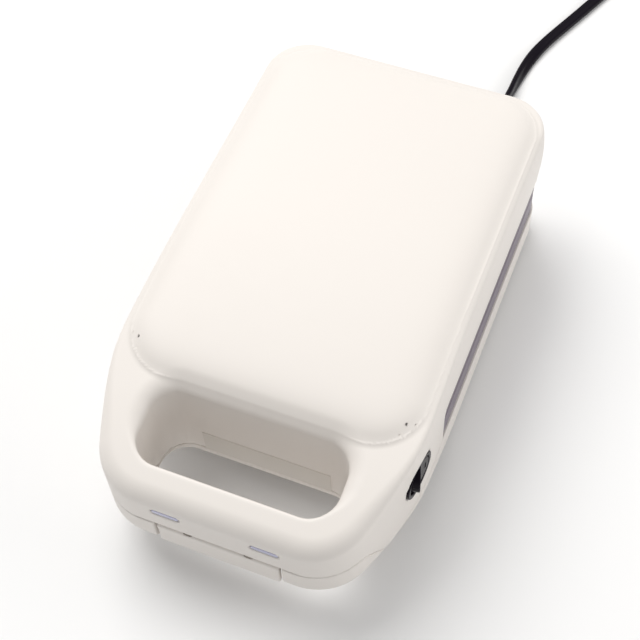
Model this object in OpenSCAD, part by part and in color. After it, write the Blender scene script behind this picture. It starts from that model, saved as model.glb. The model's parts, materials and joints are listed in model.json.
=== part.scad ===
// Donut maker: a compact hinged hot-plate appliance with four ring moulds, a handle at the
// front, a fold-down latch and a flat twin mains lead. Millimetres, +Z up, +X to the right,
// the handle towards -Y and the hinge towards +Y. The origin is on the table, under the middle.

/* [Body] */
// Overall width of the two covers
body_w = 134; // [132:1:136]
// Overall depth, from the handle's front face to the back
body_d = 238; // [236:1:240]
// Height of the flat rim around the top panel
rim_z = 78; // [77:0.5:80]
// Rise of the cushioned top panel above the rim
dome_h = 7; // [5:0.5:8]
// Wall thickness of the moulded covers
wall = 2.5; // [2:0.1:2.8]
// Height of the rubber feet below the lower cover
foot_h = 3; // [2:0.5:3]

/* [Parting] */
// Height at which the two handle halves meet
seam_z = 38; // [37.5:0.5:38.5]
// Height at which the two baking plates meet
meet_z = 33.5; // [33:0.5:34]
// Gap between the faces of the two halves when shut
meet_gap = 0.4; // [0.3:0.1:0.6]
// Top edge of the lower cover beside the plates
low_edge_z = 20; // [19:0.5:21]
// Bottom edge of the upper cover beside the plates
high_edge_z = 44.5; // [44:0.5:46]

/* [Handle] */
// Width of the hand slot
slot_w = 87; // [80:1:88]
// Depth of the hand slot, front to back
slot_d = 33; // [30:1:34]
// Corner radius of the hand slot
slot_r = 12; // [8:1:14]
// Y of the slot's back wall
slot_back_y = -72; // [-73:0.5:-71]

/* [Moulds] */
// Distance from a mould's centre to the middle of its ring
ring_r = 17; // [15:0.5:17]
// Radius of the ring's round section
ring_tube_r = 10; // [8:0.5:10]
// Half the spacing between mould centres across the plate
mould_x = 28.6; // [28:0.1:28.7]
// Half the spacing between mould centres along the plate
mould_y = 30.5; // [30:0.5:31]

/* [Controls] */
// Radius of the round switch's bezel
bezel_r = 11; // [10:0.5:11.5]
// Swing of the rocker from one side to the other, in degrees
rocker_swing = 22; // [14:1:24]
// Width of the front latch
latch_w = 54; // [50:1:56]
// Travel of the plate release buttons
button_travel = 3; // [2:0.5:3]

/* [Cord] */
// Width of the flat twin lead
cord_w = 6.4; // [6:0.1:6.4]
// Thickness of the flat twin lead
cord_t = 3.2; // [3:0.1:3.4]
// Radius of the stored coil at the middle of its turns
coil_r = 35; // [34:1:36]

/* [Hidden] */
$fn = 48;

CREAM = "antiquewhite";
DARK = "dimgray";
STEEL = "silver";
COATING = "#3a3634";
BLACK = "#1c1a1e";
CERAMIC = "ivory";

half_w = body_w / 2;
half_d = body_d / 2;
base_z = foot_h;
lower_top = meet_z - meet_gap / 2;
upper_bottom = meet_z + meet_gap / 2;

// Plan of the body: a flared front with tight corners, straight sides and round back corners
front_r = 25;
flare_r = 160;
flare_c = [half_w - flare_r, -48];
front_dy = -half_d + front_r - flare_c[1];
front_c = [flare_c[0] + sqrt(pow(flare_r - front_r, 2) - pow(front_dy, 2)), -half_d + front_r];
flare_a = asin(front_dy / (flare_r - front_r));
back_r = 19;
back_c = [half_w - back_r, half_d - back_r];

// Where the skirt of the upper cover ends and the plates begin
skirt_y = -31;
// The front corner stretch over which the parting line drops to the skirt's lower edge
drop_y = [-106, -84];
// The handle's sloping top, from the panel's crease to the nose
crease_y = -70;
nose_y = -112;
nose_z = 62.4;
// The underside, from the front edge of the handle to the flat base
belly = [[-119, 22], [-104, 20.4], [-89, 18.4], [-73, 15.6], [-63, 13], [-48, 9.6], [-32, 6],
  [-24, 4.2], [-16, base_z]];

// The well that each plate sits in, and the ledge behind it
well_x = 60.6;
well_y = [-24.4, 99.4];
well_c = (well_y[0] + well_y[1]) / 2;
well_l = well_y[1] - well_y[0];
well_r = 10;
plate_play = 0.4;
plate_t = 4;
mould_wall = 2.5;
ledge_in = 3;
ledge_t = 2;
ledge_r = 22;
catch_x = 32;
catch_reach = 2.6;
frame_y = -38;
liner_gap = 0.5;

// Hinge axis and its knuckles
hinge_y = 110;
hinge_z = meet_z;
knuckle_r = 5;
pin_r = 2;
knuckle_x = [30, 38, 38.4, 46.4];

// Screw places shared by the frames, liners and covers
corner_screws = [[53.2, 94.4], [-53.2, 94.4], [53.2, -19.4], [-53.2, -19.4]];
handle_screws = [[52.5, -88], [-52.5, -88]];
nose_screws = [[40.4, -111.8], [-40.4, -111.8]];
boss_r = 3.6;
screw_r = 1.4;
screw_clear = 0.3;
screw_bite = 0.05;

// Heating elements: half size of the loop, tube radius and the half gap at its open front
heater_half = [40, 46];
heater_tube_r = 3.2;
heater_gap = 10;
upper_heater_z = 52.8;
lower_heater_z = 14.2;
reflector_z = [8.6, 58.8];

// Latch axis and leaf
latch_y = -115.4;
latch_z = 34.4;
latch_barrel_r = 3.2;
latch_leaf_t = 2.6;
latch_low_z = 22.6;
latch_gap = 1.3;
latch_lug_x = 13.5;
latch_lug_half = 1.5;
latch_pin_r = 1.2;
pocket_x = latch_w / 2 + latch_gap;

// Round switch on the right side of the upper cover
switch_y = -63;
switch_z = 44;
switch_turn = asin((switch_y - flare_c[1]) / flare_r);
switch_x = flare_c[0] + flare_r * cos(switch_turn);
bezel_proud = 0.9;
rocker_half = [6.7, 8.1];
rocker_face = 4.4;
rocker_dish = 14;
rocker_pivot = -3.8;
rocker_bore = 8.85;
trunnion_r = 1.2;
trunnion_reach = 9.3;

// Indicator windows in the nose
window_x = 21.7;
window_z = 49;
window_l = 12;
window_h = 2.6;

wire_r = 1;

// Route of the lead along its middle, from the strain relief to the coil
cord_x = 28;
cord_z = 12;
relief_l = 28;
cord_route = [[28, 147, 12], [28, 154, 11.4], [28.2, 161, 9.7], [28.8, 168, 7.4],
  [29.8, 175, 5.2], [30.8, 182, 3.8], [31.4, 190, 3.3], [31.8, 198, 3.1], [32.3, 207, 2.8],
  [33.4, 217, 2.4], [35.4, 226, 1.9], [38.5, 235, 1.8], [42.3, 244, 1.8], [46.7, 254, 1.8],
  [50.9, 264, 1.8], [55, 275, 1.8], [59.2, 285, 1.8], [63, 294, 1.8], [65.3, 303, 1.8]];
// How far the flat lead is turned about its middle at each point of the route, in degrees
cord_turn = [90, 90, 90, 90, 90, 88, 80, 65, 50, 35, 10];
coil_c = [24, 320];
coil_half = 10;
coil_h = 7.6;
coil_out_r = coil_r + 6.6;
plug_turn = 150;
plug_gap = 17.2;
plug_z = 7.5;

// ---- helpers ----

function arc_pts(c, r, a0, a1, n) =
  [for (k = [0:n]) [c[0] + r * cos(a0 + (a1 - a0) * k / n), c[1] + r * sin(a0 + (a1 - a0) * k / n)]];

function half_plan(inset) = concat(
  arc_pts(front_c, front_r - inset, -90, flare_a, 8),
  arc_pts(flare_c, flare_r - inset, flare_a, 0, 7),
  arc_pts(back_c, back_r - inset, 0, 90, 9));

// The body's outline, drawn in by an even inset
module plan(inset = 0) {
  half = half_plan(inset);
  polygon(concat(half, [for (k = [len(half) - 1:-1:0]) [-half[k][0], half[k][1]]]));
}

// A ring of wall that follows the body's outline
module plan_ring(outer, inner) {
  difference() {
    plan(outer);
    plan(inner);
  }
}

// Everything between two heights
module layer(z0, z1) {
  translate([0, 0, z0]) linear_extrude(z1 - z0) children();
}

// A side-view shape in Y and Z, carried across the body's width
module across(w) {
  rotate([90, 0, 90]) translate([0, 0, -w / 2]) linear_extrude(w) children();
}

// An axis-aligned block between two corners
module block(lo, hi) {
  translate(lo) cube(hi - lo);
}

// A rod along X between two places
module rod_x(x0, x1, y, z, r) {
  translate([x0, y, z]) rotate([0, 90, 0]) cylinder(h = x1 - x0, r = r);
}

// A rod along Y between two places
module rod_y(y0, y1, x, z, r) {
  translate([x, y0, z]) rotate([-90, 0, 0]) cylinder(h = y1 - y0, r = r);
}

// A rectangle with round corners, centred on the origin
module round_rect(w, d, r) {
  square([w - 2 * r, d], center = true);
  square([w, d - 2 * r], center = true);
  for (sx = [-1, 1], sy = [-1, 1])
    translate([sx * (w / 2 - r), sy * (d / 2 - r)]) circle(r);
}

// The hand slot's outline, made larger by an even margin
module slot(margin = 0) {
  translate([0, slot_back_y - slot_d / 2])
    round_rect(slot_w + 2 * margin, slot_d + 2 * margin, slot_r + margin);
}

// The plate well's outline, drawn in by an even inset
module well(inset = 0, r = well_r) {
  translate([0, well_c]) round_rect(2 * (well_x - inset), well_l - 2 * inset, r);
}

// The half of the ground plan on one side of a line across the body
module behind(y) {
  translate([-100, y]) square([200, 300]);
}

module ahead(y) {
  translate([-100, y - 300]) square([200, 300]);
}

// The parting line beside the handle: level at the nose, an easy drop, then the skirt's edge
function drop_z(t) = low_edge_z + (seam_z - low_edge_z) * (1 + cos(180 * t)) / 2;
function parting(lift) = concat(
  [[-130, seam_z + lift]],
  [for (k = [0:10]) [drop_y[0] + (drop_y[1] - drop_y[0]) * k / 10, drop_z(k / 10) + lift]],
  [[skirt_y, low_edge_z + lift]]);

// Side view of everything that belongs to the upper cover
module upper_side() {
  polygon(concat(parting(0), [[skirt_y, high_edge_z], [130, high_edge_z], [130, 120], [-130, 120]]));
}

// Side view of everything that belongs to the lower cover
module lower_side() {
  polygon(concat(parting(-meet_gap), [[130, low_edge_z - meet_gap], [130, -20], [-130, -20]]));
}

// Side view under the roof of the upper cover, lowered by a drop
module roof_side(drop) {
  polygon([[130, -30], [130, rim_z - drop], [crease_y, rim_z - drop], [nose_y, nose_z - drop],
    [-116, nose_z - 2.3 - drop], [-118.3, nose_z - 5.4 - drop], [-119.2, nose_z - 9 - drop], [-130, -30]]);
}

// Side view above the belly of the lower cover, raised by a lift
module belly_side(lift) {
  polygon(concat([[-130, 22 + lift]], [for (p = belly) [p[0], p[1] + lift]],
    [[130, base_z + lift], [130, 130], [-130, 130]]));
}

// The cushioned panel on top: its plan cut by two gently crowned side views
module panel(inset = 0) {
  d0 = crease_y + inset;
  d1 = half_d - 3 - inset;
  w = half_w - 2.6 - inset;
  top = rim_z + dome_h - inset;
  intersection() {
    translate([0, (d0 + d1) / 2, rim_z - 6]) linear_extrude(20)
      round_rect(2 * w, d1 - d0, 24 - inset);
    across(200)
      polygon([[d0, rim_z - 6], [d0, rim_z], [d0 + 6, top - 2.6], [d0 + 16, top - 0.8], [d0 + 34, top],
        [d1 - 30, top], [d1 - 14, top - 0.8], [d1 - 5, top - 2.6], [d1, rim_z], [d1, rim_z - 6]]);
    rotate([90, 0, 0]) translate([0, 0, -150]) linear_extrude(300)
      polygon([[-w, rim_z - 6], [-w, rim_z], [-w + 5, top - 2.6], [-w + 14, top - 0.8],
        [-w + 28, top], [w - 28, top], [w - 14, top - 0.8], [w - 5, top - 2.6], [w, rim_z],
        [w, rim_z - 6]]);
  }
}

// A straight-sided tube of round or flat section swept along a list of points
function unit(v) = v / norm(v);
function heading(p, k) = unit(p[min(k + 1, len(p) - 1)] - p[max(k - 1, 0)]);
function turned(x, y, a) = [x * cos(a) - y * sin(a), x * sin(a) + y * cos(a)];
module sweep(p, half_across, half_up, ref = [0, 0, 1], sides = 8, turn = []) {
  rings = [for (k = [0:len(p) - 1])
    let (t = heading(p, k), s = unit(cross(ref, t)), u = cross(t, s), w = k < len(turn) ? turn[k] : 0)
    for (j = [0:sides - 1])
      let (a = 360 * j / sides, q = turned(half_across * cos(a), half_up * sin(a), w))
      p[k] + s * q[0] + u * q[1]];
  last = (len(p) - 1) * sides;
  walls = [for (k = [0:len(p) - 2], j = [0:sides - 1])
    let (a = k * sides + j, b = k * sides + (j + 1) % sides) [a, a + sides, b + sides, b]];
  polyhedron(rings, concat([[for (j = [0:sides - 1]) j]], walls,
    [[for (j = [sides - 1:-1:0]) last + j]]), convexity = 8);
}

// A compression spring along Y
module coil_spring(x, z, y0, y1, r, wire, turns) {
  steps = 14 * turns;
  path = [for (k = [0:steps]) [x + r * cos(360 * k / 14), y0 + wire + (y1 - y0 - 2 * wire) * k / steps,
    z + r * sin(360 * k / 14)]];
  sweep(path, wire, wire, ref = [0, 1, 0], sides = 6);
}

// A pan-head screw standing on its head, with its shank along +Z
module screw(head_r, head_h, shank_r, shank_l) {
  difference() {
    union() {
      cylinder(h = head_h, r = head_r);
      cylinder(h = head_h + shank_l, r = shank_r);
    }
    for (a = [0, 90]) rotate([0, 0, a])
      translate([-head_r * 0.6, -0.35, -0.1]) cube([head_r * 1.2, 0.7, 0.8]);
  }
}

// ---- shapes shared by the two halves; dir is +1 for the upper half and -1 for the lower ----

// The ring moulds, as solids of a given section radius
module mould_rings(r) {
  for (sx = [-1, 1], sy = [-1, 1])
    translate([sx * mould_x, well_c + sy * mould_y, meet_z])
      rotate_extrude() translate([ring_r, 0]) circle(r);
}

// Notches in the plate's rim where the button's tongue and the rear catches hold it
module rim_notches(face, dir) {
  for (p = [[0, well_y[0]], [-catch_x, well_y[1]], [catch_x, well_y[1]]])
    translate([p[0] - 6, p[1] - 3, face - (dir > 0 ? 1 : 2)]) cube([12, 6, 3]);
}

module donut_plate(dir) {
  face = dir > 0 ? upper_bottom : lower_top;
  difference() {
    union() {
      translate([0, 0, dir > 0 ? face : face - plate_t]) linear_extrude(plate_t)
        well(plate_play, well_r - plate_play);
      intersection() {
        mould_rings(ring_tube_r + mould_wall);
        layer(dir > 0 ? face : 0, dir > 0 ? 90 : face) well(1, well_r);
      }
    }
    mould_rings(ring_tube_r);
    rim_notches(face, dir);
  }
}

module plate_catches(dir) {
  face = dir > 0 ? upper_bottom : lower_top;
  z0 = dir > 0 ? face + 0.2 : face - 1.7;
  for (x = [-catch_x, catch_x])
    translate([x - 5, well_y[1] - catch_reach, z0]) cube([10, catch_reach, 1.5]);
}

// The pocket in the frame that the release button slides in
module button_pocket(dir) {
  face = dir > 0 ? upper_bottom : lower_top;
  block([-10, frame_y + 2, face - 6], [10, well_y[0] + 0.1, face + 6]);
}

module release_button(dir) {
  face = dir > 0 ? upper_bottom : lower_top;
  z0 = dir > 0 ? face + 0.2 : face - 5;
  tongue_z = dir > 0 ? face + 0.2 : face - 1.7;
  difference() {
    block([-9.6, well_y[0] - 7, z0], [9.6, well_y[0] - 0.3, z0 + 4.8]);
    // grip grooves
    for (k = [0:2]) {
      y = well_y[0] - 5.6 + 1.8 * k;
      block([-7, y, face - 0.7], [7, y + 0.8, face + 0.7]);
    }
  }
  block([-5, well_y[0] - 1, tongue_z], [5, well_y[0] + 2, tongue_z + 1.5]);
}

module release_spring(dir) {
  face = dir > 0 ? upper_bottom : lower_top;
  coil_spring(0, face + 2.6 * dir, frame_y + 2.05, well_y[0] - 7.05, 1.8, 0.35, 3);
}

module plate_frame(dir) {
  face = dir > 0 ? upper_bottom : lower_top;
  far = dir > 0 ? face + 16 : face - 16;
  lip = dir > 0 ? high_edge_z - 0.3 : low_edge_z;
  back_rim = face + plate_t * dir + 0.3 * dir;
  ledge_far = back_rim + ledge_t * dir;
  inset_in = wall + 0.4;
  low_boss_z = 8.2;
  difference() {
    union() {
      // the visible band beside the plates
      layer(min(face, lip), max(face, lip)) intersection() {
        plan_ring(1.2, 5.2);
        behind(skirt_y + liner_gap);
      }
      // the wall that goes up inside the cover
      layer(min(face, far), max(face, far)) intersection() {
        plan_ring(inset_in + 0.2, inset_in + 2.4);
        behind(frame_y);
      }
      // the face around the well
      layer(min(face, back_rim), max(face, back_rim)) intersection() {
        plan(inset_in + 0.4);
        behind(frame_y);
        ahead(104);
      }
      // the ledge that carries the plate, with corners that take the screws
      layer(min(back_rim, ledge_far), max(back_rim, ledge_far)) intersection() {
        plan(inset_in + 0.4);
        behind(frame_y);
        ahead(104);
      }
      // cross walls at the front and back of the well
      for (y = [frame_y, 102]) layer(min(face, far), max(face, far)) intersection() {
        plan(inset_in + 0.4);
        translate([-100, y]) square([200, 2]);
      }
      for (p = corner_screws) translate([p[0], p[1], dir > 0 ? back_rim : low_boss_z])
        cylinder(h = dir > 0 ? 8 : back_rim - low_boss_z, r = boss_r);
    }
    layer(face - 5, face + 5) well(0, well_r);
    layer(0, 100) well(ledge_in, ledge_r);
    button_pocket(dir);
    for (p = corner_screws) translate([p[0], p[1], dir > 0 ? 30 : 8])
      cylinder(h = dir > 0 ? 30 : 16, r = screw_r + (dir > 0 ? screw_clear : screw_bite));
    if (dir > 0) for (p = corner_screws)
      translate([p[0], p[1], back_rim - 1]) cylinder(h = 3.2, r = 3.1);
    // room for the hinge
    if (dir > 0) block([-48, 104, 0], [48, 130, 47]);
    else {
      block([-100, 104, 23.4], [100, 130, 60]);
      block([-48, 104, 0], [48, 130, 60]);
    }
  }
}

// A tubular heating element: a rounded loop, open at the front
module heater(z) {
  bend = 14;
  dx = heater_half[0] - bend;
  dy = heater_half[1] - bend;
  for (sx = [-1, 1]) {
    rod_y(well_c - dy, well_c + dy, sx * heater_half[0], z, heater_tube_r);
    rod_x(sx > 0 ? heater_gap : -dx, sx > 0 ? dx : -heater_gap, well_c - heater_half[1], z, heater_tube_r);
    for (sy = [-1, 1]) translate([sx * dx, well_c + sy * dy, z])
      rotate([0, 0, sx > 0 ? (sy > 0 ? 0 : -90) : (sy > 0 ? 90 : 180)])
        rotate_extrude(angle = 90) translate([bend, 0]) circle(heater_tube_r);
  }
  rod_x(-dx, dx, well_c + heater_half[1], z, heater_tube_r);
}

// Ceramic bushes with their contact pins at the open ends of an element
module heater_ends(z) {
  y = well_c - heater_half[1];
  for (sx = [-1, 1]) {
    rod_x(sx > 0 ? 6 : -heater_gap, sx > 0 ? heater_gap : -6, y, z, heater_tube_r - 0.4);
    rod_x(sx > 0 ? 2 : -6, sx > 0 ? 6 : -2, y, z, 0.9);
  }
}

// Saddles that hold an element to its reflector
module heater_clamps(z, floor_z) {
  for (x = [-heater_half[0], heater_half[0]], y = [well_c - 22, well_c + 22]) difference() {
    block([x - 5, y - 3, min(floor_z, z)], [x + 5, y + 3, max(floor_z, z)]);
    rod_y(y - 4, y + 4, x, z, heater_tube_r + 0.05);
  }
}

// A thin steel pan around an element
module reflector(floor_z, rim) {
  t = 0.8;
  lo = min(floor_z, rim);
  hi = max(floor_z, rim);
  inner_lo = floor_z < rim ? lo + t : lo - 1;
  inner_hi = floor_z < rim ? hi + 1 : hi - t;
  difference() {
    layer(lo, hi) well(ledge_in + 0.8, ledge_r);
    layer(inner_lo, inner_hi) well(ledge_in + 0.8 + t, ledge_r - t);
    for (p = corner_screws) translate([p[0], p[1], lo - 1]) cylinder(h = hi - lo + 2, r = boss_r + 0.3);
  }
}

// ---- upper half ----

// The upper cover's outer form, drawn in by an even depth
module upper_form(depth) {
  intersection() {
    layer(10, 90) plan(depth);
    across(200) roof_side(depth);
  }
  panel(depth);
}

module upper_cover() {
  color(CREAM) difference() {
    union() {
      difference() {
        intersection() {
          upper_form(0);
          across(200) upper_side();
        }
        upper_form(wall);
        layer(0, 20) plan(wall);
      }
      // the wall around the hand slot
      intersection() {
        layer(seam_z, 90) slot(2.2);
        across(200) roof_side(0);
      }
      // bosses for the frame and the liner
      intersection() {
        union() {
          for (p = corner_screws) translate([p[0], p[1], 46.2]) cylinder(h = 40, r = boss_r);
          for (p = concat(handle_screws, nose_screws)) translate([p[0], p[1], 40.2]) cylinder(h = 40, r = 3);
        }
        upper_form(1);
      }
    }
    layer(0, 100) slot();
    for (p = corner_screws) translate([p[0], p[1], 46]) cylinder(h = 14, r = screw_r + 0.05);
    for (p = concat(handle_screws, nose_screws)) translate([p[0], p[1], 40]) cylinder(h = 11, r = 1.25);
    // the switch hole and the seat for its bezel
    at_switch() {
      rod_x(-12, 5, 0, 0, bezel_r - 0.9);
      rod_x(-1.25, 5, 0, 0, bezel_r + 0.15);
    }
    for (sx = [-1, 1]) window_cut(sx, 0.15, -125, -110);
  }
}

// An obround through the nose wall at an indicator
module window_cut(side, margin, y0, y1) {
  translate([side * window_x, y1, window_z]) rotate([90, 0, 0]) linear_extrude(y1 - y0)
    round_rect(window_l + 2 * margin, window_h + 2 * margin, (window_h + 2 * margin) / 2 - 0.001);
}

module upper_handle_liner() {
  color(CREAM) difference() {
    union() {
      layer(seam_z, seam_z + 2) intersection() {
        plan(wall + 0.3);
        ahead(frame_y - liner_gap);
      }
      // lugs that carry the latch's pin
      for (sx = [-1, 1]) {
        x0 = sx * latch_lug_x - latch_lug_half;
        x1 = sx * latch_lug_x + latch_lug_half;
        rod_x(x0, x1, latch_y, latch_z, 2.7);
        block([x0, latch_y + 0.6, latch_z - 2.6], [x1, latch_y + 3.4, seam_z + 0.5]);
      }
    }
    layer(30, 50) slot(2.5);
    block([46.5, switch_y - 13, 30], [80, switch_y + 13, 50]);
    for (p = concat(handle_screws, nose_screws)) translate([p[0], p[1], seam_z - 0.1]) {
      cylinder(h = 1.2, r = 2.9);
      cylinder(h = 4, r = 1.6);
    }
    rod_x(-20, 20, latch_y, latch_z, latch_pin_r + 0.03);
  }
}

module upper_plate_frame() {
  color(DARK) plate_frame(1);
}

module upper_donut_plate() {
  color(COATING) donut_plate(1);
}

module upper_plate_catches() {
  color(STEEL) plate_catches(1);
}

module upper_release_button() {
  color(BLACK) release_button(1);
}

module upper_release_spring() {
  color(STEEL) release_spring(1);
}

module upper_heater() {
  color(STEEL) heater(upper_heater_z);
}

module upper_heater_ends() {
  color(CERAMIC) heater_ends(upper_heater_z);
}

module upper_heater_clamps() {
  color(STEEL) heater_clamps(upper_heater_z, reflector_z[1] - 0.8);
}

module upper_reflector() {
  color(STEEL) reflector(reflector_z[1], 42);
}

module thermostat() {
  color(BLACK) {
    translate([0, 30, reflector_z[1]]) cylinder(h = 7, r = 8);
    translate([0, 30, reflector_z[1]]) cylinder(h = 9, r = 5);
    for (sx = [-1, 1]) block([sx * 10 - 3, 27, 59], [sx * 10 + 3, 33, 60]);
  }
}

// A steel hinge leaf: knuckles on one side of each hinge, and a tab that is screwed to the frame
module hinge_leaf(x0, x1, dir) {
  for (sx = [-1, 1]) {
    xa = sx > 0 ? x0 : -x1;
    xb = sx > 0 ? x1 : -x0;
    difference() {
      union() {
        rod_x(xa, xb, hinge_y, hinge_z, knuckle_r);
        if (dir > 0) block([xa, hinge_y - 5.9, hinge_z + 1], [xb, hinge_y - 2, hinge_z + 15]);
        else block([xa, hinge_y - 5.9, hinge_z - 15], [xb, hinge_y - 2, hinge_z - 1]);
      }
      rod_x(xa - 1, xb + 1, hinge_y, hinge_z, pin_r + 0.05);
    }
  }
}

module upper_hinge_leaf() {
  color(STEEL) hinge_leaf(knuckle_x[0], knuckle_x[1], 1);
}

module upper_screws() {
  color(STEEL) {
    for (p = corner_screws)
      translate([p[0], p[1], 38.2]) screw(2.9, 1.7, screw_r, 16);
    for (p = concat(handle_screws, nose_screws))
      translate([p[0], p[1], seam_z]) screw(2.7, 1, 1.2, 11);
  }
}

module upper_wiring() {
  color("white") {
    // hinge to thermostat, thermostat to switch, switch to indicators
    sweep([[-24, 108, 40], [-24, 106.5, 48], [-24, 105.6, 56], [-22, 100, 62], [-16, 84, 63.5],
      [-12, 60, 63.5], [-9.5, 40, 63]], wire_r, wire_r, ref = [1, 0, 0]);
    sweep([[9.5, 30, 63], [20, 10, 63.5], [34, -14, 63], [44, -34, 60], [46, -48, 54],
      [46, -56, 48]], wire_r, wire_r);
    sweep([[46.6, -74.5, 46], [48, -80, 49], [48.4, -86, 53], [48.2, -98, 53], [44, -104.4, 51],
      [40, -106.6, 50], [36, -108.6, 49], [33.4, -109.6, 48]], wire_r, wire_r);
  }
}

module indicator_windows() {
  color("lavender") for (sx = [-1, 1]) intersection() {
    window_cut(sx, 0, -118.9, -114);
    layer(40, 60) plan(0.3);
  }
}

module indicator_board() {
  color("darkgreen") block([-32, -111.4, 43], [32, -110, 55]);
  color("white") for (sx = [-1, 1]) rod_y(-113.9, -111.4, sx * window_x, window_z, 1.5);
}

// The middle of the switch on the side wall, with X square to the wall
module at_switch() {
  translate([switch_x, switch_y, switch_z]) rotate([0, 0, switch_turn]) children();
}

module switch_housing() {
  color(BLACK) at_switch() difference() {
    union() {
      rod_x(-1.2, bezel_proud, 0, 0, bezel_r);
      rod_x(-18, 0, 0, 0, bezel_r - 1.2);
    }
    rod_x(-9, 5, 0, 0, rocker_bore);
    // blind holes for the rocker's trunnions
    translate([rocker_pivot, 0, 0])
      cylinder(h = 2 * trunnion_reach + 0.2, r = trunnion_r + 0.05, center = true);
  }
}

module switch_terminals() {
  color(STEEL) at_switch() for (y = [-6, 0, 6]) block([-22.5, y - 2, -0.4], [-18, y + 2, 0.4]);
}

// A round two-position rocker with a dished face, shown with its front end out. It is narrower
// along its swing so that both of its positions fit the round housing.
module switch_rocker() {
  color(BLACK) at_switch() translate([rocker_pivot, 0, 0]) rotate([0, 0, rocker_swing / 2]) {
    difference() {
      translate([-3, 0, 0]) rotate([90, 0, 90]) linear_extrude(12)
        polygon([for (k = [0:35]) [rocker_half[0] * cos(10 * k), rocker_half[1] * sin(10 * k)]]);
      for (s = [-1, 1]) translate([rocker_face, 0, 0]) rotate([0, 0, -rocker_dish * s])
        translate([0, s > 0 ? -0.2 : -12, -12]) cube([9, 12.2, 24]);
    }
    cylinder(h = 2 * trunnion_reach, r = trunnion_r, center = true);
  }
}

module front_latch() {
  color(CREAM) difference() {
    union() {
      rod_x(-latch_w / 2, latch_w / 2, latch_y, latch_z, latch_barrel_r);
      block([-latch_w / 2, -118.9, latch_low_z], [latch_w / 2, -118.9 + latch_leaf_t, latch_z]);
      block([-18, -117, latch_low_z + 0.6], [18, -114.6, latch_low_z + 3]);
    }
    // room for the lugs
    for (x = [-latch_lug_x, latch_lug_x])
      block([x - latch_lug_half - 0.4, latch_y - 3, latch_z - 3.6],
        [x + latch_lug_half + 0.4, latch_y + 5, latch_z + 5]);
    rod_x(-40, 40, latch_y, latch_z, latch_pin_r + 0.05);
  }
}

module latch_pin() {
  color(STEEL) rod_x(-18, 18, latch_y, latch_z, latch_pin_r);
}

// ---- lower half ----

module lower_cover() {
  color(CREAM) difference() {
    union() {
      difference() {
        intersection() {
          layer(0, 60) plan();
          across(200) belly_side(0);
          across(200) lower_side();
        }
        intersection() {
          layer(0, 100) plan(wall);
          across(200) belly_side(wall);
        }
      }
      // the wall around the hand slot
      intersection() {
        layer(10, seam_z - meet_gap) slot(2.2);
        across(200) belly_side(0);
      }
      // the back and sides of the latch's pocket
      intersection() {
        block([-pocket_x - 1.8, -118.4, 15], [pocket_x + 1.8, -109.6, seam_z - meet_gap]);
        across(200) belly_side(0);
      }
      for (p = corner_screws) translate([p[0], p[1], base_z + 1]) cylinder(h = 4, r = boss_r + 1.4);
      intersection() {
        for (p = handle_screws) translate([p[0], p[1], 15]) cylinder(h = 9, r = 4.6);
        across(200) belly_side(0.5);
      }
    }
    layer(0, 100) slot();
    // the latch's pocket, open to the front and below
    block([-pocket_x, -130, 0], [pocket_x, -111.4, 60]);
    for (p = corner_screws) translate([p[0], p[1], 0]) {
      cylinder(h = 20, r = screw_r + screw_clear);
      cylinder(h = base_z + 2, r = 3.4);
    }
    for (p = handle_screws) translate([p[0], p[1], 10]) {
      cylinder(h = 20, r = 1.5);
      cylinder(h = 11.4, r = 3);
    }
    rod_y(100, 130, cord_x, cord_z, 4.7);
  }
}

module lower_handle_liner() {
  color(CREAM) difference() {
    union() {
      layer(seam_z - meet_gap - 2, seam_z - meet_gap) intersection() {
        plan(wall + 0.6);
        ahead(frame_y - liner_gap);
      }
      // the tub wall that stands inside the upper cover's skirt
      layer(24, seam_z - meet_gap) intersection() {
        plan_ring(wall + 0.6, wall + 2.4);
        ahead(frame_y - liner_gap);
        behind(-104);
      }
      for (p = handle_screws)
        translate([p[0], p[1], 24.3]) cylinder(h = 12, r = 3.2);
    }
    layer(0, 60) slot(2.5);
    block([46.5, switch_y - 13, 30], [80, switch_y + 13, 50]);
    block([-pocket_x - 2.2, -130, 20], [pocket_x + 2.2, -109.3, 50]);
    for (p = handle_screws) translate([p[0], p[1], 24]) cylinder(h = 10, r = 1.25);
  }
}

module lower_plate_frame() {
  color(DARK) plate_frame(-1);
}

module lower_donut_plate() {
  color(COATING) donut_plate(-1);
}

module lower_plate_catches() {
  color(STEEL) plate_catches(-1);
}

module lower_release_button() {
  color(BLACK) release_button(-1);
}

module lower_release_spring() {
  color(STEEL) release_spring(-1);
}

module lower_heater() {
  color(STEEL) heater(lower_heater_z);
}

module lower_heater_ends() {
  color(CERAMIC) heater_ends(lower_heater_z);
}

module lower_heater_clamps() {
  color(STEEL) heater_clamps(lower_heater_z, reflector_z[0] + 0.8);
}

module lower_reflector() {
  color(STEEL) reflector(reflector_z[0], 25);
}

module thermal_fuse() {
  color("white") rod_x(24, 38, -52, 24, 2.2);
  color(STEEL) {
    rod_x(20, 24, -52, 24, 0.5);
    rod_x(38, 42, -52, 24, 0.5);
  }
}

module terminal_block() {
  color(CERAMIC) difference() {
    block([-14, -58, 16], [14, -46, 28]);
    for (x = [-8.4, 0, 8.4]) {
      translate([x, -52, 20]) cylinder(h = 9, r = 2.2);
      rod_y(-59, -45, x, 20, 1.4);
    }
  }
}

module lower_hinge_leaf() {
  color(STEEL) hinge_leaf(knuckle_x[2], knuckle_x[3], -1);
}

module hinge_pins() {
  x0 = knuckle_x[0] - 1;
  x1 = knuckle_x[3] + 1;
  color(STEEL) for (sx = [-1, 1])
    rod_x(sx > 0 ? x0 : -x1, sx > 0 ? x1 : -x0, hinge_y, hinge_z, pin_r);
}

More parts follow.
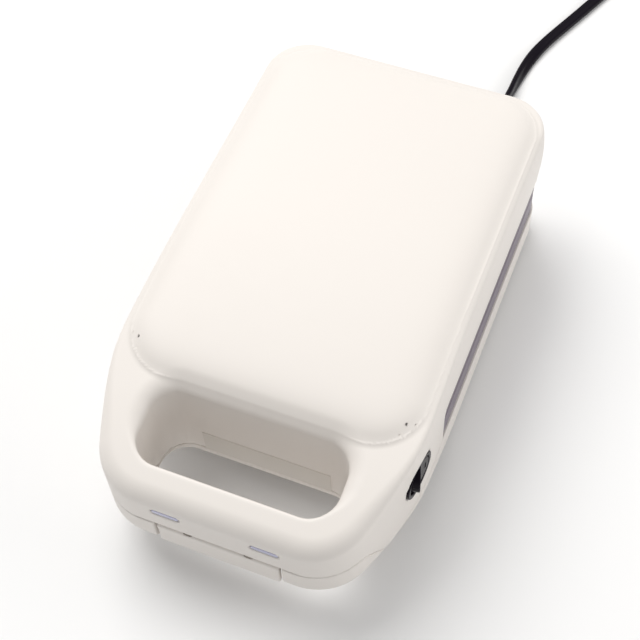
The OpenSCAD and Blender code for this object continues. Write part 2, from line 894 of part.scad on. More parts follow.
module hinge_wire_sleeve() {
  color(BLACK) difference() {
    rod_x(-22, 22, hinge_y, hinge_z, 3.4);
    rod_x(-23, 23, hinge_y, hinge_z, 2.3);
  }
}

module lower_screws() {
  color(STEEL) {
    for (p = corner_screws)
      translate([p[0], p[1], base_z + 0.4]) screw(3, 1.6, screw_r, 16);
    for (p = handle_screws)
      translate([p[0], p[1], 19.6]) screw(2.7, 1.7, 1.2, 11);
  }
}

module lower_wiring() {
  color("white") {
    // lead to the fuse, and lead to the terminal block
    sweep([[29, 103.4, 12], [38, 103.4, 12], [48, 103.5, 12], [55, 102, 12], [59, 98, 12],
      [59.8, 90, 12], [59.3, 80, 12], [59.3, 40, 12], [59.3, 0, 12], [59, -24, 12],
      [56, -40, 12.4], [50, -47, 16], [40, -50, 24]], wire_r, wire_r);
    sweep([[26, 103.4, 12], [-38, 103.4, 12], [-48, 103.5, 12], [-55, 102, 12], [-59, 98, 12],
      [-59.8, 90, 12], [-59.3, 80, 12], [-59.3, 40, 12], [-59.3, 0, 12], [-58.6, -26, 12],
      [-54, -40, 12.6], [-44, -50, 15], [-30, -59, 19], [-15.2, -60, 20]], wire_r, wire_r);
  }
}

module rubber_feet() {
  color(BLACK) for (sx = [-1, 1], y = [-4, 76])
    translate([sx * 54, y, 0]) cylinder(h = foot_h, r = 5.5);
}

// A blank rating-plate sticker on the slot's back wall
module blank_label() {
  color("whitesmoke") block([-28, slot_back_y - 0.25, 20.5], [31, slot_back_y, 34.5]);
}

// ---- mains lead ----

module cord_clamp() {
  color(CERAMIC) difference() {
    block([cord_x - 9, 104.5, base_z + wall], [cord_x + 9, 110.5, 17]);
    translate([cord_x, 104, cord_z]) rotate([-90, 0, 0]) linear_extrude(8)
      square([cord_w + 0.4, cord_t + 0.4], center = true);
  }
}

module cord_relief() {
  color(BLACK) {
    rod_y(114.3, 116.4, cord_x, cord_z, 6.2);
    rod_y(116.3, 119.4, cord_x, cord_z, 4.6);
    rod_y(119.1, 121.2, cord_x, cord_z, 6);
    translate([cord_x, 121.2, cord_z]) rotate([-90, 0, 0])
      cylinder(h = half_d + relief_l - 121.2, r1 = 5, r2 = 3.9);
  }
}

module power_cord() {
  color(BLACK) sweep(cord_route, cord_w / 2, cord_t / 2, turn = cord_turn);
}

// The outer shape of the stored turns
module cord_coil() {
  color(BLACK) translate([coil_c[0], coil_c[1], 0.1]) difference() {
    cylinder(h = coil_h, r = coil_r + coil_half);
    translate([0, 0, -1]) cylinder(h = coil_h + 2, r = coil_r - coil_half);
  }
}

module coil_tie() {
  color("white") translate([coil_c[0], coil_c[1], 0]) rotate([0, 0, -120]) difference() {
    block([coil_r - coil_half - 1.2, -2.5, 0], [coil_r + coil_half + 1, 2.5, coil_h + 1]);
    block([coil_r - coil_half - 0.4, -3, 0.05], [coil_r + coil_half + 0.2, 3, coil_h + 0.2]);
  }
}

// The plug lies beside the coil, where the last turn leaves it
module at_plug() {
  translate([coil_c[0], coil_c[1], plug_z]) rotate([0, 0, plug_turn]) translate([coil_out_r, plug_gap, 0])
    rotate([0, 0, 90]) children();
}

module plug_body() {
  color(BLACK) at_plug() {
    rotate([0, 90, 0]) cylinder(h = 24, r1 = 3.6, r2 = 5.2);
    translate([23, 0, 0]) rotate([0, 90, 0]) cylinder(h = 3, r = 5.6);
    translate([25, -12, -7.3]) cube([22, 24, 14.6]);
  }
}

module plug_blades() {
  color(STEEL) at_plug() for (s = [-1, 1]) translate([47, s * 6.35 - 0.75, -3.1]) cube([17, 1.5, 6.2]);
}

upper_cover();
upper_handle_liner();
upper_plate_frame();
upper_donut_plate();
upper_plate_catches();
upper_release_button();
upper_release_spring();
upper_heater();
upper_heater_ends();
upper_heater_clamps();
upper_reflector();
thermostat();
upper_hinge_leaf();
upper_screws();
upper_wiring();
indicator_windows();
indicator_board();
switch_housing();
switch_terminals();
switch_rocker();
front_latch();
latch_pin();
lower_cover();
lower_handle_liner();
lower_plate_frame();
lower_donut_plate();
lower_plate_catches();
lower_release_button();
lower_release_spring();
lower_heater();
lower_heater_ends();
lower_heater_clamps();
lower_reflector();
thermal_fuse();
terminal_block();
lower_hinge_leaf();
hinge_pins();
hinge_wire_sleeve();
lower_screws();
lower_wiring();
rubber_feet();
blank_label();
cord_clamp();
cord_relief();
power_cord();
cord_coil();
coil_tie();
plug_body();
plug_blades();
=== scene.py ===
import json
import math
import bpy
import numpy as np
from mathutils import Matrix, Vector


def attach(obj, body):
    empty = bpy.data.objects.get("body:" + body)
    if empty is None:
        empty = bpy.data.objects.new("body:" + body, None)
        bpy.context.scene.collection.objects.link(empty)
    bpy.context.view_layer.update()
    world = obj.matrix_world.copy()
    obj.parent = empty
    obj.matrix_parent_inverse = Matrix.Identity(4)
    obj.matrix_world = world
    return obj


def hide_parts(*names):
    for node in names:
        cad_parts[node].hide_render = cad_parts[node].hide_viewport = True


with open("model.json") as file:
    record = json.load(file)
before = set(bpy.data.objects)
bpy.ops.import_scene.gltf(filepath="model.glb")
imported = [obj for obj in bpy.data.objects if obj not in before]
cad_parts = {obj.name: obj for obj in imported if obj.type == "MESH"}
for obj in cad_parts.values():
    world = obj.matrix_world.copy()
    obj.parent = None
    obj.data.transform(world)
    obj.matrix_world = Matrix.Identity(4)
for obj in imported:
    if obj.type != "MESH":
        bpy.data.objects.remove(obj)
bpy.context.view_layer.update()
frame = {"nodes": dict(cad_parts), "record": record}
SCENE = bpy.context.scene
SCENE.view_settings.view_transform = "Standard"
MM = 0.001

# ---- camera ----


def make_camera():
    az, el, roll = math.radians(24.6), math.radians(56.7), math.radians(-3.4)
    dist, focal = 584.0, 1304.0
    target = Vector((-1.1, -3.2, 38.0))
    back = Vector((math.sin(az) * math.cos(el), -math.cos(az) * math.cos(el), math.sin(el)))
    side = Vector((math.cos(az), math.sin(az), 0))
    up = side.cross(-back)
    right = math.cos(roll) * side + math.sin(roll) * up
    above = -math.sin(roll) * side + math.cos(roll) * up
    data = bpy.data.cameras.new("camera")
    data.sensor_width = 36.0
    data.lens = focal / 640 * 36
    data.clip_start, data.clip_end = 0.02, 20
    cam = bpy.data.objects.new("camera", data)
    SCENE.collection.objects.link(cam)
    m = Matrix((right, above, back)).transposed().to_4x4()
    m.translation = (target + back * dist) * MM
    cam.matrix_world = m
    SCENE.camera = cam


make_camera()

# ---- distance fields, in millimetres ----

HALF_W, HALF_D = 67.0, 119.0
FRONT_R, FLARE_R, BACK_R = 25.0, 160.0, 20.0
FLARE_C = (HALF_W - FLARE_R, -48.0)
_dy = -HALF_D + FRONT_R - FLARE_C[1]
FRONT_C = (FLARE_C[0] + math.sqrt((FLARE_R - FRONT_R) ** 2 - _dy ** 2), -HALF_D + FRONT_R)
FLARE_A = math.asin(_dy / (FLARE_R - FRONT_R))
MEET_Z, RIM_Z, EDGE_Z, DOME_R = 33.5, 78.0, 46.0, 22.0
WELL_C, WELL_HX, WELL_HY = 37.5, 60.6, 61.9
LATCH_Y, LATCH_Z = -115.4, 34.4
SWITCH_TURN = math.asin((-63 - FLARE_C[1]) / FLARE_R)
SWITCH_AT = (FLARE_C[0] + FLARE_R * math.cos(SWITCH_TURN), -63.0, 44.0)


def both(a, b, r):
    """What is inside both shapes, its edge rounded to radius r."""
    return np.minimum(np.maximum(a, b), -r) + np.hypot(np.maximum(a + r, 0), np.maximum(b + r, 0))


def either(a, b, r):
    return -both(-a, -b, r)


def less(a, b, r):
    return both(a, -b, r)


def ease(v, a, b):
    t = np.clip((v - a) / (b - a), 0, 1)
    return t * t * (3 - 2 * t)


def rrect(x, y, hx, hy, r):
    qx, qy = np.abs(x) - hx + r, np.abs(y) - hy + r
    return np.hypot(np.maximum(qx, 0), np.maximum(qy, 0)) + np.minimum(np.maximum(qx, qy), 0) - r


def slab(v, lo, hi):
    return np.abs(v - (lo + hi) / 2) - (hi - lo) / 2


def plan(x, y, back_r=BACK_R):
    """The body's outline seen from above."""
    ax = np.abs(x)
    d = np.maximum(ax - HALF_W, y - HALF_D)
    bx, by = HALF_W - back_r, HALF_D - back_r
    d = np.where((ax > bx) & (y > by), np.hypot(ax - bx, y - by) - back_r, d)
    flare = np.hypot(ax - FLARE_C[0], y - FLARE_C[1]) - FLARE_R
    d = np.where(y < FLARE_C[1], np.maximum(flare, -HALF_D - y), d)
    vx, vy = ax - FRONT_C[0], y - FRONT_C[1]
    corner = (vx > 0) & (vy < vx * math.tan(FLARE_A))
    return np.where(corner, np.hypot(vx, vy) - FRONT_R, d)


def swollen(x, y, z, back_r=BACK_R):
    """The upper cover's outline, which swells slightly between its rim and its lower edge."""
    swell = np.interp(z, [38, 44.5, 52, 60, 66, 70, 74, 78], [0.3, 0.5, 0.95, 1.4, 1.4, 1.15, 0.7, 0.0])
    return plan(x, y, back_r) - swell * ease(y, -95, -58)


def roof(y, z):
    slope = (y + 70) * -0.3482 + (z - RIM_Z) * 0.9375
    return both(z - RIM_Z, slope, 26.0)


def slot(x, y):
    return rrect(x, y + 88.5, 43.5, 16.5, 12)


def parting(y):
    t = np.clip((y + 106) / 22, 0, 1)
    return 20 + 18 * (1 + np.cos(np.pi * t)) / 2


def parting_d(y, z):
    """Distance below the parting line in front of the plates."""
    t = np.clip((y + 106) / 22, 0, 1)
    slope = 9 * np.sin(np.pi * t) * np.pi / 22
    return (parting(y) - z) / np.sqrt(1 + slope ** 2)


def at_switch(p):
    c, s = math.cos(SWITCH_TURN), math.sin(SWITCH_TURN)
    dx, dy = p[:, 0] - SWITCH_AT[0], p[:, 1] - SWITCH_AT[1]
    return np.stack([c * dx + s * dy, -s * dx + c * dy, p[:, 2] - SWITCH_AT[2]], 1)


def upper_solid(p):
    x, y, z = p.T
    top = roof(y, z)
    edge = 1.7 + 5.3 * ease(-y, 58, 108)
    body = both(swollen(x, y, z), top, edge)
    inward = -rrect(x, y - 23, 64.4, 93, DOME_R)
    m = np.maximum(inward, 0)
    sx = np.maximum(64.4 - np.abs(x), 0)
    sy = np.maximum(93 - np.abs(y - 23), 0)
    steep = np.exp(-m / 4.2)
    rise = 5.2 * (1 - steep) + 1.8 * (1 - np.exp(-sx / 15)) * (1 - np.exp(-sy / 17)) * (1 - np.exp(-m / 3))
    dome = (top - rise) / np.sqrt(1 + (1.25 * steep) ** 2)
    body = either(body, np.maximum(dome, -inward), 2.6)
    rim = 1.8 + 5.6 * ease(y, -103, -88)
    return less(body, slot(x, y), rim)


def upper_cover(p):
    x, y, z = p.T
    solid = upper_solid(p)
    keep = either(both(parting_d(y, z), y + 31, 1.2), EDGE_Z - z, 3.5)
    d = both(np.maximum(solid, -(solid + 2.4)), keep, 0.45)
    for side in (-1, 1):
        hole = np.maximum(rrect(x - side * 21.7, z - 49, 6.4, 1.7, 1.69), y + 110)
        d = less(d, hole, 0.25)
    q = at_switch(p)
    return less(d, np.maximum(np.hypot(q[:, 1], q[:, 2]) - 11.12, -q[:, 0] - 14), 0.25)


BELLY = np.array([(-125, 22.4), (-119, 22), (-104, 20.4), (-89, 18.4), (-73, 15.6), (-63, 13), (-48, 9.6),
                  (-32, 6), (-24, 4.2), (-16, 3), (0, 3), (130, 3)])
_by = np.arange(-125, 130, 0.5)
_kernel = np.exp(-np.linspace(-2.2, 2.2, 25) ** 2)
_rough = np.pad(np.interp(_by, BELLY[:, 0], BELLY[:, 1]), 12, mode="edge")
_bz = np.convolve(_rough, _kernel / _kernel.sum(), "valid")
_bs = np.gradient(_bz, _by)
# the screws' holes in the underside: x, y, the top of the hole and its radius
COUNTERBORES = [(53.2, 94.4, 5.0, 3.4), (-53.2, 94.4, 5.0, 3.4),
                (53.2, -19.4, 5.0, 3.4), (-53.2, -19.4, 5.0, 3.4),
                (52.5, -88, 21.4, 3.0), (-52.5, -88, 21.4, 3.0)]


def belly(y, z):
    return (np.interp(y, _by, _bz) - z) / np.sqrt(1 + np.interp(y, _by, _bs) ** 2)


def low_plan(x, y):
    return plan(x, y, 18.0) - 0.5 * ease(y, -95, -58)


def lower_cover(p):
    x, y, z = p.T
    solid = both(low_plan(x, y), belly(y, z), 2.2 + 2.6 * ease(-y, 40, 110))
    solid = less(solid, slot(x, y), 1.6)
    pocket = np.maximum(np.abs(x) - 28.3, y + 111.4)
    solid = less(solid, pocket, 0.7)
    for cx, cy, top, r in COUNTERBORES:
        solid = less(solid, np.maximum(np.hypot(x - cx, y - cy) - r, z - top), 0.3)
    keep = 0.4 - parting_d(y, z)
    d = both(np.maximum(solid, -(solid + 2.4)), keep, 0.45)
    for cx, cy, top, r in COUNTERBORES:
        d = np.maximum(d, 1.55 - np.hypot(x - cx, y - cy))
    hole = np.maximum(np.hypot(x - 28, z - 12) - 4.7, 100 - y)
    return less(d, hole, 0.3)


def plate_frame(p):
    """The upper frame; the lower one is its mirror image about the meeting plane, with its own band."""
    x, y, z = p.T
    d0 = plan(x, y, 18.0)
    face = MEET_Z + 0.2
    band = both(both(d0 + 0.4, slab(z, face, EDGE_Z - 0.3), 0.7), -(d0 + 5.2), 0.3)
    band = np.maximum(band, -30.5 - y)
    wall = np.maximum(np.maximum(d0 + 3.1, -(d0 + 5.3)), np.maximum(slab(z, face, 49.7), -38 - y))
    plate = both(np.maximum(d0 + 2.9, np.maximum(-38 - y, y - 104)), slab(z, face, 40), 0.5)
    plate = less(plate, rrect(x, y - WELL_C, WELL_HX, WELL_HY, 10), 0.7)
    ledge = np.maximum(np.maximum(d0 + 2.9, np.maximum(-38 - y, y - 104)), slab(z, 38, 40))
    plate = np.minimum(plate, ledge)
    plate = np.maximum(plate, -rrect(x, y - WELL_C, 57.6, 58.9, 22))
    cross = np.maximum(np.maximum(d0 + 2.9, slab(y, -38, -36)), slab(z, face, 49.7))
    d = np.minimum(np.minimum(band, wall), np.minimum(plate, cross))
    pocket = np.maximum(np.maximum(np.abs(x) - 10, slab(y, -36, -24.3)), slab(z, face - 6, face + 6))
    return less(d, pocket, 0.4)


def frame_upper(p):
    x, y, z = p.T
    d = plate_frame(p)
    return np.maximum(d, -np.maximum(np.maximum(np.abs(x) - 48, 104 - y), z - 47))


def frame_lower(p):
    x, y, z = p.T
    m = p.copy()
    m[:, 2] = 2 * MEET_Z - z
    d0 = plan(x, y, 18.0)
    d = plate_frame(m)
    band = both(both(d0 + 0.4, slab(z, 20, 33.3), 0.7), -(d0 + 5.2), 0.3)
    d = np.minimum(d, np.maximum(band, -30.5 - y))
    d = np.maximum(d, -np.maximum(104 - y, 23.4 - z))
    return np.maximum(d, -np.maximum(np.abs(x) - 48, 104 - y))


def donut_plate(p):
    x, y, z = p.T
    face = MEET_Z + 0.2
    d = both(rrect(x, y - WELL_C, 60.2, 61.5, 9.6), slab(z, face, face + 4), 0.5)
    tx, ty = np.abs(x) - 28.6, np.abs(y - WELL_C) - 30.5
    ring = np.hypot(np.hypot(tx, ty) - 17, z - MEET_Z)
    shell = np.maximum(np.maximum(ring - 12.5, face - z), rrect(x, y - WELL_C, 59.6, 60.9, 10))
    d = either(d, shell, 1.2)
    d = np.maximum(d, face - z)
    d = less(d, ring - 10, 0.9)
    for cx, cy in ((0, -24.4), (-32, 99.4), (32, 99.4)):
        notch = np.maximum(np.maximum(np.abs(x - cx) - 6, np.abs(y - cy) - 3), z - face - 2)
        d = less(d, notch, 0.3)
    return d


def latch(p):
    x, y, z = p.T
    leaf = both(slab(y, -118.9, -116.3), slab(z, 22.6, 36), 0.9)
    barrel = np.hypot(y - LATCH_Y, z - LATCH_Z) - 3.2
    d = both(either(leaf, barrel, 0.8), np.abs(x) - 27, 0.7)
    grip = both(np.maximum(np.abs(x) - 18, slab(y, -117, -114.6)), slab(z, 23.2, 25.6), 0.4)
    d = either(d, grip, 0.4)
    for cx in (-13.5, 13.5):
        lug = np.maximum(np.maximum(np.abs(x - cx) - 1.9, -118.2 - y), slab(z, 30.8, 39.4))
        d = less(d, lug, 0.3)
    return less(d, np.hypot(y - LATCH_Y, z - LATCH_Z) - 1.25, 0.1)


def switch_body(p):
    x, y, z = at_switch(p).T
    r = np.hypot(y, z)
    ring = both(r - 11, np.maximum(x - 0.9, -1.2 - x), 0.45)
    barrel = np.maximum(r - 9.8, slab(x, -18, 0))
    bore = np.maximum(r - 8.85, -9 - x)
    return less(np.minimum(ring, barrel), bore, 0.5)


ROCKER_TURN = math.radians(11)
ROCKER_PIVOT = -3.8


def rocker(p):
    q = at_switch(p)
    x, y, z = q[:, 0] - ROCKER_PIVOT, q[:, 1], q[:, 2]
    c, s = math.cos(ROCKER_TURN), math.sin(ROCKER_TURN)
    x, y = c * x + s * y, -s * x + c * y
    half = (8.45 - np.clip(x, 0, 9) * math.sin(ROCKER_TURN)) / c
    side = (np.hypot(y / half, z / 8.3) - 1) * 7.4
    t = math.radians(14)
    face = (x - 4.4) * math.cos(t) - np.sqrt(y * y + 0.5) * math.sin(t)
    d = both(side, np.maximum(face, -3 - x), 0.45)
    mark = np.maximum(np.maximum(np.abs(y - 4.4) - 0.45, np.abs(z) - 2.0), -(face + 0.35))
    ringm = np.maximum(np.abs(np.hypot(y + 4.2, z) - 1.9) - 0.4, -(face + 0.35))
    return np.maximum(np.maximum(d, -mark), -ringm)


# ---- surfaces from distance fields ----


def lines(*spans):
    out = []
    for a, b, step in spans:
        n = max(1, int(round((b - a) / step)))
        out.append(np.linspace(a, b, n + 1)[:-1])
    out.append([spans[-1][1]])
    return np.concatenate(out)


def mirror(*spans):
    half = lines(*spans)
    return np.unique(np.concatenate([-half[::-1], half]).round(5))


def gradient(field, p, eps):
    g = np.empty_like(p)
    for k in range(3):
        step = np.zeros(3)
        step[k] = eps
        g[:, k] = (field(p + step) - field(p - step)) / (2 * eps)
    return g


def settle(field, p, reach, rounds):
    for _ in range(rounds):
        d = field(p)
        g = gradient(field, p, 0.02)
        gg = np.maximum((g * g).sum(1), 0.05)
        move = -(d / gg)[:, None] * g
        n = np.linalg.norm(move, axis=1)
        p = p + move * np.minimum(1, reach / np.maximum(n, 1e-9))[:, None]
    return p


def neighbours_mean(verts, pairs, deg):
    return np.stack([np.bincount(pairs[:, 0], verts[pairs[:, 1], k], len(verts)) / deg for k in range(3)], 1)


def fairest(verts, quads, g):
    """Whether each quad is better cut along its other diagonal, and how well its halves then face out."""
    p, out = verts[quads], g[quads].mean(1)
    scores = []
    for cut in (((0, 1, 2), (0, 2, 3)), ((3, 0, 1), (3, 1, 2))):
        low = np.ones(len(quads))
        for a, b, c in cut:
            n = np.cross(p[:, b] - p[:, a], p[:, c] - p[:, a])
            low = np.minimum(low, (n * out).sum(1) / np.maximum(np.linalg.norm(n, axis=1), 1e-9))
        scores.append(low)
    return scores[1] > scores[0] + 1e-3, np.maximum(scores[0], scores[1])


def net(field, xs, ys, zs, relax=3):
    """A closed surface of triangles where the field is zero."""
    grid = (xs, ys, zs)
    n = [len(a) for a in grid]
    pts = np.stack(np.meshgrid(xs, ys, zs, indexing="ij"), -1)
    d = np.concatenate([field(c) for c in np.array_split(pts.reshape(-1, 3), 24)]).reshape(n)
    inside = d < 0
    total = np.zeros((n[0] - 1, n[1] - 1, n[2] - 1, 3))
    count = np.zeros(total.shape[:3])
    quads = []
    ident = -np.ones(total.shape[:3], int)
    edges = []
    for a in range(3):
        lo = [slice(None)] * 3
        hi = [slice(None)] * 3
        lo[a], hi[a] = slice(0, n[a] - 1), slice(1, n[a])
        lo, hi = tuple(lo), tuple(hi)
        cross = inside[lo] != inside[hi]
        i = np.argwhere(cross)
        d0, d1 = d[lo][cross], d[hi][cross]
        p = pts[lo][cross].copy()
        p[:, a] += (pts[hi][cross][:, a] - p[:, a]) * d0 / (d0 - d1)
        b, c = [k for k in range(3) if k != a]
        cells = []
        for db, dc in ((0, 0), (1, 0), (1, 1), (0, 1)):
            j = i.copy()
            j[:, b] -= db
            j[:, c] -= dc
            cells.append(j)
            np.add.at(total, tuple(j.T), p)
            np.add.at(count, tuple(j.T), 1)
        edges.append((cells, inside[lo][cross], a))
    used = count > 0
    ident[used] = np.arange(used.sum())
    verts = total[used] / count[used][:, None]
    for cells, solid, a in edges:
        q = np.stack([ident[tuple(j.T)] for j in cells], 1)
        flip = ~solid if a != 1 else solid
        q[flip] = q[flip][:, ::-1]
        quads.append(q)
    quads = np.concatenate(quads)
    step = min(np.diff(a).min() for a in grid)
    verts = settle(field, verts, step, 4)
    pairs = np.concatenate([quads[:, [k, (k + 1) % 4]] for k in range(4)])
    pairs = np.concatenate([pairs, pairs[:, ::-1]])
    deg = np.maximum(np.bincount(pairs[:, 0], minlength=len(verts)), 1)
    for k in range(relax + 5):
        mean = neighbours_mean(verts, pairs, deg)
        g = gradient(field, verts, 0.05)
        g /= np.maximum(np.linalg.norm(g, axis=1), 1e-6)[:, None]
        move = (mean - verts) * 0.5
        if k >= relax:
            # only where a face has folded over
            folded = np.zeros(len(verts), bool)
            folded[quads[fairest(verts, quads, g)[1] < 0.6]] = True
            move *= 1.6 * folded[:, None]
        move -= (move * g).sum(1)[:, None] * g
        verts = settle(field, verts + move, step, 2)
    for _ in range(3):
        # faces that are still folded are drawn flat between their neighbours
        folded = np.unique(quads[fairest(verts, quads, g)[1] < 0.35])
        mean = neighbours_mean(verts, pairs, deg)
        verts[folded] = mean[folded]
    g = gradient(field, verts, 0.05)
    g /= np.maximum(np.linalg.norm(g, axis=1), 1e-6)[:, None]
    other = fairest(verts, quads, g)[0]
    quads[other] = np.roll(quads[other], 1, axis=1)
    return verts, np.concatenate([quads[:, [0, 1, 2]], quads[:, [0, 2, 3]]])


def surface(name, field, xs, ys, zs, blur=0.12, relax=3):
    verts, tris = net(field, xs, ys, zs, relax)
    mesh = bpy.data.meshes.new(name)
    mesh.from_pydata((verts * MM).tolist(), [], tris.tolist())
    obj = bpy.data.objects.new(name, mesh)
    SCENE.collection.objects.link(obj)
    g = gradient(field, verts, blur)
    g /= np.maximum(np.linalg.norm(g, axis=1), 1e-6)[:, None]
    flat = np.empty(len(mesh.vertices) * 3)
    mesh.vertex_normals.foreach_get("vector", flat)
    flat = flat.reshape(-1, 3)
    p = verts[tris]
    n = np.cross(p[:, 1] - p[:, 0], p[:, 2] - p[:, 0])
    n /= np.maximum(np.linalg.norm(n, axis=1), 1e-9)[:, None]
    worst = (g * flat).sum(1) - 0.4
    for k in range(3):
        np.minimum.at(worst, tris[:, k], (n * g[tris[:, k]]).sum(1))
    g = np.where((worst < 0.4)[:, None], flat, g)
    mesh.shade_smooth()
    mesh.normals_split_custom_set_from_vertices(g.tolist())
    return obj


def place(obj, body, slot_name, material, *nodes):
    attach(obj, body)
    if nodes:
        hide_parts(*nodes)
    obj.data.materials.clear()
    obj.data.materials.append(material)
    return obj


# ---- materials ----


GLOSS_SPREAD = 0.06


def principled(name, color, rough, metallic=0.0, coat=0.0, scale=400.0, bump=0.02, tint=0.02,
               specular=0.5, depth=0.0002):
    """A finish with slight wear: uneven tone, uneven gloss and a fine surface grain."""
    mat = bpy.data.materials.new(name)
    mat.use_nodes = True
    nodes, links = mat.node_tree.nodes, mat.node_tree.links
    bsdf = next(n for n in nodes if n.type == "BSDF_PRINCIPLED")
    bsdf.inputs["Metallic"].default_value = metallic
    bsdf.inputs["Coat Weight"].default_value = coat
    bsdf.inputs["Coat Roughness"].default_value = 0.1
    bsdf.inputs["Specular IOR Level"].default_value = specular
    coord = nodes.new("ShaderNodeTexCoord")
    broad = nodes.new("ShaderNodeTexNoise")
    broad.inputs["Scale"].default_value = scale * 0.05
    broad.inputs["Detail"].default_value = 3.0
    fine = nodes.new("ShaderNodeTexNoise")
    fine.inputs["Scale"].default_value = scale
    fine.inputs["Detail"].default_value = 2.0
    for n in (broad, fine):
        links.new(coord.outputs["Object"], n.inputs["Vector"])
    tone = nodes.new("ShaderNodeMix")
    tone.data_type = "RGBA"
    tone.inputs["A"].default_value = tuple(c * (1 - tint) for c in color) + (1,)
    tone.inputs["B"].default_value = tuple(min(1, c * (1 + tint)) for c in color) + (1,)
    links.new(broad.outputs["Fac"], tone.inputs["Factor"])
    links.new(tone.outputs["Result"], bsdf.inputs["Base Color"])
    gloss = nodes.new("ShaderNodeMapRange")
    gloss.inputs["To Min"].default_value = max(0.02, rough - GLOSS_SPREAD)
    gloss.inputs["To Max"].default_value = rough + GLOSS_SPREAD
    links.new(broad.outputs["Fac"], gloss.inputs["Value"])
    links.new(gloss.outputs["Result"], bsdf.inputs["Roughness"])
    grain = nodes.new("ShaderNodeBump")
    grain.inputs["Strength"].default_value = bump
    grain.inputs["Distance"].default_value = depth
    links.new(fine.outputs["Fac"], grain.inputs["Height"])
    links.new(grain.outputs["Normal"], bsdf.inputs["Normal"])
    return mat


CREAM = principled("cream_plastic", (0.83, 0.785, 0.74), 0.5, specular=0.4, scale=2600, bump=0.12, tint=0.006,
                   depth=0.0001)
BAND = principled("frame_plastic", (0.145, 0.112, 0.138), 0.4, specular=0.3, scale=2600, bump=0.12, tint=0.03,
                  depth=0.0001)
# painted light: the lower frame's band uses a lighter copy of the same frame plastic, standing in for light on
# it
BAND_PAINTED_LIGHTER = principled("frame_plastic_painted_lighter", (0.20, 0.168, 0.21), 0.4, specular=0.3, scale=2600, bump=0.12,
                      tint=0.03, depth=0.0001)
COATING = principled("plate_coating", (0.028, 0.026, 0.027), 0.33, scale=5200, bump=0.35, tint=0.12,
                     coat=0.15)
STEEL = principled("steel", (0.55, 0.54, 0.53), 0.32, metallic=1.0, scale=1500, bump=0.1, tint=0.05)
SHEATH = principled("element_sheath", (0.20, 0.19, 0.18), 0.5, metallic=0.8, scale=1800, bump=0.2, tint=0.12)
PAN = principled("pan_steel", (0.62, 0.62, 0.62), 0.38, metallic=1.0, scale=900, bump=0.15, tint=0.05)
BLACK = principled("black_plastic", (0.007, 0.004, 0.009), 0.2, scale=2000, bump=0.03, tint=0.1, specular=0.07)
LENS = principled("lens", (0.50, 0.50, 0.68), 0.18, scale=1500, bump=0.03, tint=0.04, coat=0.5)
BOARD = principled("board", (0.03, 0.12, 0.05), 0.4, scale=1500, bump=0.1, tint=0.08)
CERAMIC = principled("ceramic", (0.72, 0.68, 0.60), 0.5, scale=2200, bump=0.15, tint=0.03)
WIRE = principled("wire_sleeve", (0.66, 0.63, 0.58), 0.6, scale=3000, bump=0.3, tint=0.05)
RUBBER = principled("rubber", (0.03, 0.03, 0.032), 0.72, scale=2600, bump=0.3, tint=0.1)
CORD = principled("cord_pvc", (0.006, 0.004, 0.008), 0.24, scale=1800, bump=0.05, tint=0.12, specular=0.14)
BRASS = principled("brass", (0.72, 0.56, 0.28), 0.28, metallic=1.0, scale=1200, bump=0.08, tint=0.05)
LABEL = principled("label", (0.72, 0.68, 0.63), 0.5, scale=2500, bump=0.05, tint=0.01)

# ---- mains lead, made before anything else on the object ----

ROUTE = [(28, 147, 12), (28, 154, 11.4), (28.2, 161, 9.7), (28.8, 168, 7.4), (29.8, 175, 5.2),
         (30.8, 182, 3.8), (31.4, 190, 3.3), (31.8, 198, 3.1), (32.3, 207, 2.8), (33.4, 217, 2.4),
         (35.4, 226, 1.9), (38.5, 235, 1.8), (42.3, 244, 1.8), (46.7, 254, 1.8), (50.9, 264, 1.8),
         (55, 275, 1.8), (59.2, 285, 1.8), (63, 294, 1.8), (65.3, 303, 1.8)]
# how far the flat lead is turned about its middle, in degrees, at each y along the route
TURN_Y, TURN = [175, 182, 190, 198, 207, 217, 226, 235], [90, 88, 80, 65, 50, 35, 10, 0]
COIL_C = (24.0, 320.0)
PLUG_TURN, PLUG_GAP, PLUG_Z = math.radians(150), 17.2, 7.5


def coil_points():
    """Three turns wound in on the floor, then three wound out on top of them."""
    start = math.atan2(303 - COIL_C[1], 65.3 - COIL_C[0])
    turns_in = 2.75
    end = start + 2 * math.pi * turns_in
    out = []
    n = int(turns_in * 30)
    for k in range(1, n + 1):
        t = k / n
        r = 41.8 + 3.0 * max(0.0, 1 - t * 12) - (41.8 - 28.4) * ease(np.array(t), 0.08, 1.0).item()
        out.append((start + 2 * math.pi * turns_in * t, r, 1.8))
    span = (PLUG_TURN - end) % (2 * math.pi) + 4 * math.pi
    n = int(span / (2 * math.pi) * 30)
    for k in range(1, n + 1):
        t = k / n
        r = 28.4 + (41.6 - 28.4) * ease(np.array(t), 0.03, 0.97).item()
        z = 1.8 + 3.6 * ease(np.array(t), 0.0, 0.12).item()
        out.append((end + span * t, r, z))
    return [(COIL_C[0] + r * math.cos(a), COIL_C[1] + r * math.sin(a), z) for a, r, z in out]


def smooth_path(points, step=2.0):
    p = np.array(points, float)
    for _ in range(2):
        q = p.copy()
        q[1:-1] = 0.25 * p[:-2] + 0.5 * p[1:-1] + 0.25 * p[2:]
        p = q
    s = np.concatenate([[0], np.cumsum(np.linalg.norm(np.diff(p, axis=0), axis=1))])
    # a cubic through the points, sampled evenly
    m = np.gradient(p, s, axis=0)
    at = np.linspace(0, s[-1], int(s[-1] / step) + 1)
    i = np.clip(np.searchsorted(s, at, side="right") - 1, 0, len(s) - 2)
    h = (s[i + 1] - s[i])[:, None]
    t = ((at - s[i])[:, None]) / h
    return ((2 * t**3 - 3 * t**2 + 1) * p[i] + (t**3 - 2 * t**2 + t) * h * m[i]
            + (-2 * t**3 + 3 * t**2) * p[i + 1] + (t**3 - t**2) * h * m[i + 1])


